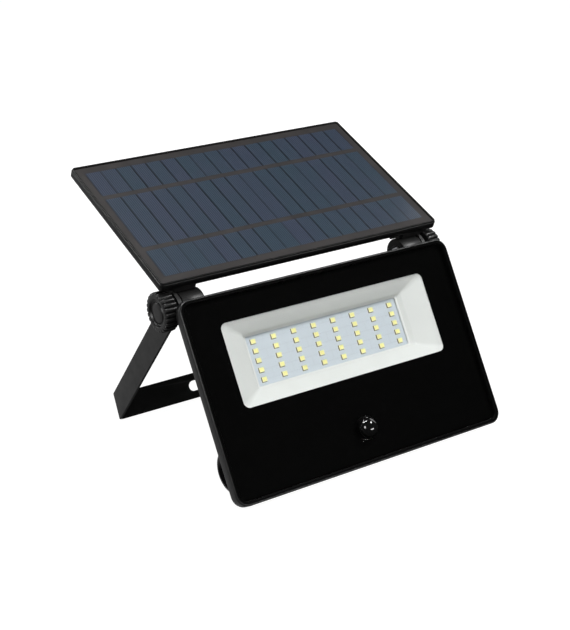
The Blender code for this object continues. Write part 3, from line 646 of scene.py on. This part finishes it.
def build_print():
    """The black print behind the glass, open at the window and at the sensor."""
    low = GLASS_BACK + PRINT_GAP
    high = low + PRINT_THICKNESS
    work = bmesh.new()
    outline = lamp_outline(GLASS_INSET)
    loft(work, [at_y(outline, low), at_y(outline, high)], (True, True))
    sheet = piece("glass_print", work, LAMP, [print_black])
    window = bmesh.new()
    shape = rounded(*WINDOW, WINDOW_CORNER, 0.0, WINDOW_Z, 12)
    loft(window, [at_y(shape, low - 1), at_y(shape, high + 1)], (True, True))
    carve(sheet, window, LAMP)
    carve(sheet, sensor_hole(8.4, 3.0), LAMP)
    stand_for(sheet, "lamp")


def build_reflector():
    """Sloping walls down to a small step, and a ledge round the LED board."""
    w, h = WINDOW

    def section(width, height, radius, y):
        return at_y(rounded(width, height, radius, 0.0, WINDOW_Z, 12), y)

    rings = [
        section(w + 12.0, h + 12.0, 8.0, GLASS_BACK + 0.3),
        section(w + 1.0, h + 1.0, WINDOW_CORNER + 0.4, GLASS_BACK + 0.3),
        section(w + 0.2, h + 0.2, WINDOW_CORNER, GLASS_BACK + 0.6),
        section(139.6, 39.8, 1.6, -13.4),
        section(138.6, 39.2, 1.5, -12.9),
        section(137.8, 38.8, 1.5, -12.4),
        section(134.6, 37.0, 1.4, -10.5),
        section(134.0, 36.7, 1.3, -10.2),
        section(132.0, 35.95, 1.2, -10.0),
        section(131.4, 35.6, 1.2, -9.8),
        section(131.4, 35.6, 1.2, -8.9),
    ]
    work = bmesh.new()
    loft(work, rings)
    shell = piece("reflector_shell", work, LAMP, [white_plastic], 30)
    stand_for(shell, "lamp", "reflector")


LED_BODY_SLOT = 1
PHOSPHOR_SLOT = 2
SOLDER_AND_SHADOW_SLOT = 3


def led(work, x, z):
    """One package: a dark foot shifted to the lower left and dark sides, which are solder with painted
    shadow and shade, a chamfered face and a phosphor pad set into it.
    """
    w, h = LED_SIZE

    def ring(inset, y, dx=0.0, dz=0.0):
        return at_y(rounded(w - 2 * inset, h - 2 * inset, 0.22, x + dx, z + dz, 2), y)

    # The foot sits to the lower left of the package as a painted shadow, and the sides take the same brown
    # as painted shade
    foot = [ring(-0.28, LED_BASE, -0.12, -0.16), ring(0.02, LED_BASE - 0.3)]
    sides = [ring(0.0, LED_BASE - 0.05), ring(0.0, LED_FACE + 0.25)]
    face = [ring(0.0, LED_FACE + 0.25), ring(0.1, LED_FACE), ring(0.36, LED_FACE)]
    pad = [ring(0.36, LED_FACE), ring(0.42, LED_FACE + 0.05), ring(0.8, LED_FACE + 0.02)]
    loft(work, foot, slot=SOLDER_AND_SHADOW_SLOT)
    loft(work, sides, slot=SOLDER_AND_SHADOW_SLOT)
    loft(work, face, slot=LED_BODY_SLOT)
    loft(work, pad, (False, True), slot=PHOSPHOR_SLOT)


def build_led_board():
    work = bmesh.new()
    outline = rounded(*BOARD_SIZE, 1.5, 0.0, WINDOW_Z, 4)
    loft(work, [at_y(outline, LED_BASE), at_y(outline, LED_BASE + BOARD_THICKNESS)], (True, True))
    for column in range(LED_COLUMNS):
        for row in range(LED_ROWS):
            x = (column - (LED_COLUMNS - 1) / 2) * LED_PITCH[0]
            z = WINDOW_Z + ((LED_ROWS - 1) / 2 - row) * LED_PITCH[1]
            led(work, x, z)
    board = piece("led_board_face", work, LAMP, [solder_mask, led_body, phosphor, solder_and_shadow])
    stand_for(board, "lamp", "led_board")


def build_sensor():
    """Collar ring and dome of the motion sensor."""
    centre = (0, 0, SENSOR_Z)
    front, back = -GLASS_FRONT, -GLASS_BACK
    r = COLLAR_RADIUS
    collar = [(7.3, front + 0.2), (7.4, front + 0.7), (7.6, front + 0.85), (7.9, front + 0.75)]
    collar += [(r, front + 0.2), (r + 0.05, front - 0.6), (r, back - 0.6), (7.3, back - 0.6)]
    # The collar takes the bezel's painted shade black
    stand_for(turned("sensor_ring", collar, "-Y", centre, LAMP, bezel_shade_black), "lamp", "sensor_collar")
    turns = [math.radians(90 - 5 * i) for i in range(19)]
    dome = [(DOME_RADIUS * math.cos(a), front + 0.4 + DOME_HEIGHT * math.sin(a)) for a in turns]
    dome[0] = (0.0, dome[0][1])
    dome += [(DOME_RADIUS, back - 0.6), (0.0, back - 0.6)]
    stand_for(turned("sensor_lens", dome, "-Y", centre, LAMP, gloss_black), "lamp", "sensor_dome")


CAP_PROFILE = [
    (0.0, 2.2),
    (6.9, 2.2),
    (7.4, 2.0),
    (8.0, 0.9),
    (8.5, 0.6),
    (10.0, 0.6),
    (10.5, 0.9),
    (12.2, 2.7),
    (12.7, 3.0),
    (CAP_RADIUS - 1.2, 2.9),
    (CAP_RADIUS - 0.4, 2.4),
    (CAP_RADIUS, 1.6),
    (CAP_RADIUS, 0.4),
    (CAP_RADIUS - 0.4, 0.1),
    (0.0, 0.1),
]


def build_battery():
    """Tube with thicker ends, its two clamp bands, and a ringed cap with a turning slot at each end."""
    r, half = TUBE_RADIUS, TUBE_HALF
    profile = [(11.0, half), (r - 0.5, half), (r, half - 0.5), (r, half - 5.0), (r - 0.35, half - 5.5)]
    profile += [(radius, -height) for radius, height in profile[::-1]]
    tube = turned("tube_body", profile, "X", TUBE, LAMP, cover_plastic, 72)
    stand_for(tube, "lamp", "battery_tube")
    for side, sign in SIDES:
        out = "X" if sign > 0 else "-X"
        end = (sign * half, TUBE[1], TUBE[2])
        obj = turned(f"tube_cap_{side}", CAP_PROFILE, out, end, LAMP, gloss_black, 72)
        slot = bmesh.new()
        shape = rounded(13.0, 1.8, 0.8, TUBE[1], TUBE[2], 4)
        loft(slot, [at_x(shape, sign * (half + 1.3)), at_x(shape, sign * (half + 3.5))], (True, True))
        carve(obj, slot, LAMP)
        stand_for(obj, "lamp", f"battery_cap_{side}")
        clamp = refined(f"clamp_band_{side}", f"tube_clamp_{side}", zinc, 0.25)
        stand_for(clamp, "lamp", f"tube_clamp_{side}")


CROSS_REACH = 1.8
CROSS_WIDTH = 0.35
CROSS_TOP = 3.0
COVER_SCREWS = [(x, z) for z in (-18.5, -92.0) for x in (-90.0, 0.0, 90.0)]
COVER_HEAD = [(0.0, 2.35), (1.2, 2.3), (2.2, 2.05), (2.9, 1.5), (3.2, 0.7), (3.2, 0.3), (0.0, 0.3)]
LUG_CENTRE = 94.5
LUG_SCREWS = (11.0, 22.0)
LUG_HEAD = [(0.0, 1.85), (1.1, 1.8), (2.1, 1.55), (2.7, 1.0), (3.0, 0.5), (3.0, 0.3), (0.0, 0.3)]


def screw_head(name, profile, axis, seat, matrix, recess_floor):
    """Pan head with a cross recess."""
    obj = turned(name, profile, axis, seat, matrix, zinc, 40)
    carve(obj, cross_recess(axis, seat, recess_floor, CROSS_TOP), matrix)
    return obj


def cross_recess(axis, centre, low, high):
    """Two crossed bars above a screw head, for cutting into it."""
    turn = along(axis, centre)
    reach, width = CROSS_REACH, CROSS_WIDTH
    plus = [(width, -reach), (width, -width), (reach, -width)]
    plus += [(reach, width), (width, width), (width, reach)]
    plus += [(-x, -y) for x, y in plus]
    rings = [[turn @ Vector((x, y, h)) for x, y in plus] for h in (low, high)]
    work = bmesh.new()
    loft(work, rings, (True, True))
    return work


def build_screws():
    for i, (x, z) in enumerate(COVER_SCREWS, 1):
        seat = (x, COVER_REAR - 2.6, z)
        head = screw_head(f"cover_screw_head_{i}", COVER_HEAD, "Y", seat, LAMP, 0.9)
        stand_for(head, "lamp", f"cover_screw_{i}")
    for side, sign in SIDES:
        for i, y in enumerate(LUG_SCREWS, 1):
            seat = (sign * LUG_CENTRE, y, PANEL_UNDER - 4.4)
            head = screw_head(f"lug_screw_head_{side}_{i}", LUG_HEAD, "-Z", seat, PANEL, 0.7)
            stand_for(head, "panel", f"lug_screw_{side}_{i}")


def build_rear_fittings():
    """Rear cover, vent plug, and the push switch in its collar."""
    stand_for(refined("rear_cover_shell", "rear_cover", cover_plastic, 0.3), "lamp", "rear_cover")
    vent = [(0.0, 1.5), (1.2, 1.55), (1.5, 1.2), (2.4, 1.2), (2.7, 1.6)]
    vent += [(4.4, 1.5), (5.0, 1.1), (5.2, 0.4), (5.2, 0.3), (0.0, 0.3)]
    stand_for(turned("vent_cap", vent, "Y", VENT, LAMP, rubber), "lamp", "vent_plug")
    collar = [(5.6, -3.0), (5.6, 1.5), (5.9, 1.8), (7.6, 1.8), (8.2, 1.4)]
    collar += [(8.4, 0.9), (8.4, 0.3), (6.1, 0.3), (6.1, -3.0)]
    stand_for(turned("switch_ring", collar, "Y", SWITCH, LAMP, cover_plastic), "lamp", "switch_collar")
    button = [(0.0, 3.0), (2.4, 3.05), (3.4, 3.25), (4.1, 3.1), (4.8, 2.5)]
    button += [(5.15, 1.6), (5.2, 1.0), (5.2, -3.6), (0.0, -3.6)]
    stand_for(turned("switch_cap", button, "Y", SWITCH, LAMP, rubber), "switch", "switch_button")


# Knobs


def knob_radius(turn, trim):
    """Round ribs with narrow valleys between them."""
    wave = abs(math.sin(turn * KNOB_RIBS / 2))
    return KNOB_RADIUS - trim - VALLEY_DEPTH * (1 - wave**VALLEY_SHARPNESS)


def build_knob(side, sign):
    """Ribbed grip with a rounded edge, and a groove and a raised disc in its outer face."""
    steps = KNOB_RIBS * 10
    turns = [TAU * i / steps for i in range(steps)]
    outer = KNOB_OUTER

    def ribbed(trim, x):
        points = [(knob_radius(a, trim), a) for a in turns]
        return [(sign * x, radius * math.cos(a), radius * math.sin(a)) for radius, a in points]

    def plain(radius, x):
        return [(sign * x, radius * math.cos(a), radius * math.sin(a)) for a in turns]

    rings = [plain(BOLT_HOLE, KNOB_INNER), plain(11.6, KNOB_INNER), ribbed(0.6, KNOB_INNER)]
    rings += [ribbed(0.1, KNOB_INNER + 0.5), ribbed(0.0, KNOB_INNER + 1.2), ribbed(0.0, outer - 1.6)]
    rings += [ribbed(0.15, outer - 0.8), ribbed(0.6, outer - 0.25)]
    rings += [plain(11.5, outer), plain(10.2, outer), plain(9.7, outer - 0.25), plain(9.4, outer - 1.4)]
    rings += [plain(9.0, outer - 1.7), plain(7.7, outer - 1.7), plain(7.3, outer - 1.4)]
    rings += [plain(7.1, outer - 0.9), plain(6.7, outer - 0.65), plain(3.0, outer - 0.6)]
    rings += [plain(0.4, outer - 0.6)]
    work = bmesh.new()
    loft(work, rings, (True, True))
    knob = piece(f"knob_grip_{side}", work, tilted(0.0), [knob_plastic], 50)
    stand_for(knob, f"{side}_knob", f"knob_{side}")


# Panel


def build_cheek():
    """Inner end of the right lug, which closes over the end of its barrel."""
    near, far, clear = PANEL_NEAR + 1.2, PANEL_NEAR + 27.2, BARREL_RADIUS + 0.5
    turns = [math.radians(29.5 + 48.2 * i / 12) for i in range(13)]
    outline = [(clear * math.cos(a), clear * math.sin(a)) for a in turns]
    outline += [(near, PANEL_UNDER - 0.1), (far, PANEL_UNDER - 0.1), (far, 10.0), (far - 6.0, 6.0)]
    work = bmesh.new()
    loft(work, [at_x(outline, 87.0), at_x(outline, 90.6)], (True, True))
    # The cheek takes the shade black: painted shade on the lug's inner end
    stand_for(soften(piece("lug_cheek_right", work, PANEL, [shade_black]), 0.3), "panel")


# Stations of the panel's rim: inset from the outline, and height
SKIRT_BOTTOM = PANEL_UNDER - PANEL_SKIRT
PANEL_STATIONS = (
    (3.2, PANEL_UNDER + 1.4),
    (3.0, PANEL_UNDER + 0.2),
    (2.8, PANEL_UNDER),
    (1.1, PANEL_UNDER),
    (1.0, SKIRT_BOTTOM + 0.2),
    (0.9, SKIRT_BOTTOM),
    (0.5, SKIRT_BOTTOM),
    (0.45, SKIRT_BOTTOM + 0.2),
    (0.0, SKIRT_BOTTOM + 0.9),
    (0.0, PANEL_TOP - 1.7),
    (0.15, PANEL_TOP - 1.45),
    (0.5, PANEL_TOP - 1.35),
    (0.55, PANEL_TOP - 0.5),
    (0.7, PANEL_TOP - 0.12),
    (0.95, PANEL_TOP),
    (1.2, PANEL_TOP - 0.03),
    (PANEL_LIP, PANEL_TOP - 0.5),
    (PANEL_LIP + 0.1, PANEL_TOP - 1.8),
)
# Bands of the lip's inner slope, which take the painted shade black
LIP_BANDS = range(14, 17)


def build_rim():
    """Frame of the panel. The inner slope of its lip takes the shade black: painted shade."""
    work = bmesh.new()
    loft(work, [at_z(panel_outline(inset), z) for inset, z in PANEL_STATIONS], shade_bands=LIP_BANDS)
    stand_for(piece("panel_rim", work, PANEL, [rim_plastic, shade_black]), "panel", "panel_frame")


def build_laminate():
    margin = PANEL_LIP + LAMINATE_GAP
    half = PANEL_WIDTH / 2 - margin
    near, far = PANEL_NEAR + margin, PANEL_NEAR + PANEL_LENGTH - margin
    corners = [(-half, near), (half, near), (half, far), (-half, far)]
    work = bmesh.new()
    loft(work, [at_z(corners, LAMINATE_TOP - 1.4), at_z(corners, LAMINATE_TOP)], (True, True))
    stand_for(piece("laminate_sheet", work, PANEL, [laminate_grey]), "panel", "pv_laminate")


def build_panel_back():
    """Back plate with its junction box and cable gland."""
    back = refined("panel_back_sheet", "panel_back", cover_plastic, 0.2)
    stand_for(back, "panel", "panel_back")
    box = refined("junction_case", "junction_box", cover_plastic, 0.3)
    stand_for(box, "panel", "junction_box")
    gland = [(0.0, 7.0), (1.3, 7.0), (1.7, 6.4), (1.9, 5.6), (2.0, 2.3)]
    gland += [(2.5, 1.9), (2.8, 1.5), (2.8, 0.3), (0.0, 0.3)]
    centre = (0, PANEL_NEAR + 45.0, PANEL_UNDER - 3.4)
    stand_for(turned("gland_boot", gland, "-Y", centre, PANEL, rubber, 40), "panel", "cable_gland")


def build_cells():
    """Strips of silicon in three rows. Each has a tone of its own, and some joints hardly show."""
    work = bmesh.new()
    tone = work.verts.layers.float.new("tone")
    joint = work.verts.layers.float.new("joint")
    face = LAMINATE_TOP + CELL_LIFT
    for length, near in CELL_ROWS:
        for column in range(CELL_COLUMNS):
            left = (column - CELL_COLUMNS / 2) * CELL_PITCH
            right = left + CELL_PITCH
            low = PANEL_NEAR + near
            high = low + length
            corners = [(left, low), (right, low), (right, high), (left, high)]
            shade, depth = rng.random(), rng.choice((0.55, 0.9, 1.0, 1.0))
            for vert in loft(work, [at_z(corners, face)], (False, True))[0]:
                vert[tone] = shade
                vert[joint] = depth
    stand_for(piece("solar_cells", work, PANEL, [cell_blue]), "panel")


# Assembly

CAD_LOOKS = {
    board_green: ("sensor_board", "control_board", "switch_body"),
    zinc: ("sensor_can", "battery_contact_left", "battery_contact_right"),
    cell_wrap: ("battery_cell_1", "battery_cell_2", "battery_cell_3"),
    rubber: ("glass_gasket", "battery_seal_left", "battery_seal_right"),
}
HINGE_LOOKS = {zinc: ("hinge_nut", "hinge_bolt"), rubber: ("hinge_washer",)}


def dress(node, material):
    """Gives a CAD node that is kept as it is its own material."""
    mesh = frame["nodes"][node].data
    mesh.materials.clear()
    mesh.materials.append(material)


def build_all():
    build_housing()
    build_glass()
    build_print()
    build_reflector()
    build_led_board()
    build_sensor()
    build_battery()
    build_screws()
    build_rear_fittings()
    build_rim()
    build_laminate()
    build_cells()
    build_panel_back()
    build_cheek()
    for side, sign in SIDES:
        build_barrel(side, sign)
        build_knob(side, sign)
        stand_for(refined(f"lug_block_{side}", f"lug_{side}", cover_plastic, 0.4), "panel", f"lug_{side}")
    stand_for(refined("bracket_strap", "u_bracket", powder_coat, 0.35), "bracket", "u_bracket")
    for material, nodes in CAD_LOOKS.items():
        for node in nodes:
            dress(node, material)
    for material, stems in HINGE_LOOKS.items():
        for stem in stems:
            for side, _ in SIDES:
                dress(f"{stem}_{side}", material)


# Studio

FLOOR_REACH = 12.0
FLOOR_GLOW = 0.975

# Brightness of the world: the sweep and the room in reflections, and the fill on matt faces
SWEEP_GLOW = 0.38
ROOM_GLOW = 0.02
FILL_GLOW = 0.30
SWEEP_START = 0.6
SWEEP_FULL = 1.45
SWEEP_TURN = 0.8

CAMERA_PLACE = Vector((-0.5469, -0.7928, 0.4540))
CAMERA_VIEW = Vector((0.5261, 0.7704, -0.3601))
CAMERA_UP = Vector((0.2151, 0.2891, 0.9328))
FOCAL_LENGTH = 80.177143
SENSOR = 36.0

STUDIO_CENTRE = Vector((0.0, -0.03, 0.09))

# Soft lights that only light matt faces: name, place from the centre, power
SOFT_SIZE = 1.0
SOFT_LIGHTS = (
    ("soft", (-0.1, -0.68, 1.15), 18.8),
    ("behind", (0.3, 1.25, 0.4), 28.0),
)

# Softboxes that only show as reflections: name, place from the centre, width, height, power
GLINTS = (
    ("window_left", (-0.42, 0.38, 1.02), 0.26, 0.16, 5.0),
    ("window_right", (-0.05, 0.20, 1.16), 0.26, 0.16, 5.0),
    ("overhead", (0.66, -0.44, 0.95), 0.36, 0.22, 6.0),
    ("front", (0.42, -1.15, 0.04), 0.60, 0.16, 4.5),
    ("side", (1.07, 0.19, 0.52), 0.50, 0.90, 2.0),
    ("left", (-0.98, -0.58, 0.55), 0.45, 0.45, 5.5),
    ("kicker", (-0.85, 1.15, 0.22), 0.35, 0.25, 1.5),
)


def area_light(name, place, aim, size, energy, size_y=None):
    data = bpy.data.lights.new(name, "AREA")
    data.energy = energy
    data.size = size
    if size_y:
        data.shape = "RECTANGLE"
        data.size_y = size_y
    lamp = bpy.data.objects.new(name, data)
    bpy.context.scene.collection.objects.link(lamp)
    lamp.location = place
    lamp.rotation_euler = (Vector(aim) - Vector(place)).to_track_quat("-Z", "Y").to_euler()
    return lamp


def build_floor():
    """Plain pale floor, which doesn't show in the object's own reflections."""
    mesh = bpy.data.meshes.new("floor")
    reach = FLOOR_REACH
    corners = [(-reach, -reach, 0), (reach, -reach, 0), (reach, reach, 0), (-reach, reach, 0)]
    mesh.from_pydata(corners, [], [(0, 1, 2, 3)])
    floor = bpy.data.objects.new("floor", mesh)
    bpy.context.scene.collection.objects.link(floor)
    material, tree, shader = new_material("floor_white")
    tree.nodes.remove(shader)
    glow = add(tree, "ShaderNodeEmission", Color=(1, 1, 1, 1), Strength=FLOOR_GLOW)
    matt = add(tree, "ShaderNodeBsdfDiffuse", Color=(0.12, 0.12, 0.12, 1))
    both = add(tree, "ShaderNodeAddShader")
    tree.links.new(glow.outputs[0], both.inputs[0])
    tree.links.new(matt.outputs[0], both.inputs[1])
    tree.links.new(both.outputs[0], tree.nodes["Material Output"].inputs["Surface"])
    mesh.materials.append(material)
    floor.visible_diffuse = False
    floor.visible_glossy = False
    floor.visible_shadow = False


def sweep_level(tree):
    """Brightness by direction, high low down behind the object and low elsewhere."""
    way = add(tree, "ShaderNodeSeparateXYZ", Vector=add(tree, "ShaderNodeTexCoord").outputs["Generated"])
    behind = maths(tree, "SUBTRACT", way.outputs[1], way.outputs[2])
    behind = maths(tree, "SUBTRACT", behind, maths(tree, "MULTIPLY", way.outputs[0], SWEEP_TURN))
    level = add(
        tree,
        "ShaderNodeMapRange",
        interpolation_type="SMOOTHSTEP",
        Value=behind,
        From_Min=SWEEP_START,
        From_Max=SWEEP_FULL,
        To_Min=ROOM_GLOW,
        To_Max=SWEEP_GLOW,
    )
    return level.outputs[0]


def build_world():
    """White to the camera. Gloss sees a pale sweep behind the object and a dark room in front."""
    world = bpy.data.worlds.new("studio")
    bpy.context.scene.world = world
    world.use_nodes = True
    tree = world.node_tree
    tree.nodes.clear()
    output = add(tree, "ShaderNodeOutputWorld")
    ray = add(tree, "ShaderNodeLightPath")
    room = add(tree, "ShaderNodeBackground", Strength=sweep_level(tree))
    fill = add(tree, "ShaderNodeBackground", Strength=FILL_GLOW)
    white = add(tree, "ShaderNodeBackground", Strength=1.0)
    for shade in (room, fill, white):
        shade.inputs["Color"].default_value = (1, 1, 1, 1)
    soft = mix_shaders(tree, ray.outputs["Is Diffuse Ray"], room.outputs[0], fill.outputs[0])
    seen = mix_shaders(tree, ray.outputs["Is Camera Ray"], soft, white.outputs[0])
    tree.links.new(seen, output.inputs["Surface"])


def build_camera():
    data = bpy.data.cameras.new("camera")
    camera = bpy.data.objects.new("camera", data)
    bpy.context.scene.collection.objects.link(camera)
    back = -CAMERA_VIEW.normalized()
    right = CAMERA_UP.cross(back).normalized()
    up = back.cross(right)
    turn = Matrix((right, up, back)).transposed().to_4x4()
    camera.matrix_world = Matrix.Translation(CAMERA_PLACE) @ turn
    data.sensor_width = SENSOR
    data.lens = FOCAL_LENGTH
    data.clip_start, data.clip_end = 0.05, 60.0
    bpy.context.scene.camera = camera


def build_studio():
    build_floor()
    build_world()
    build_camera()
    centre = STUDIO_CENTRE
    for name, place, energy in SOFT_LIGHTS:
        light = area_light(name, centre + Vector(place), centre, SOFT_SIZE, energy)
        light.visible_glossy = False
    for name, place, width, height, energy in GLINTS:
        glint = area_light(name, centre + Vector(place), centre, width, energy, height)
        glint.visible_diffuse = False
    bpy.context.scene.view_settings.view_transform = "Standard"


build_all()
build_studio()
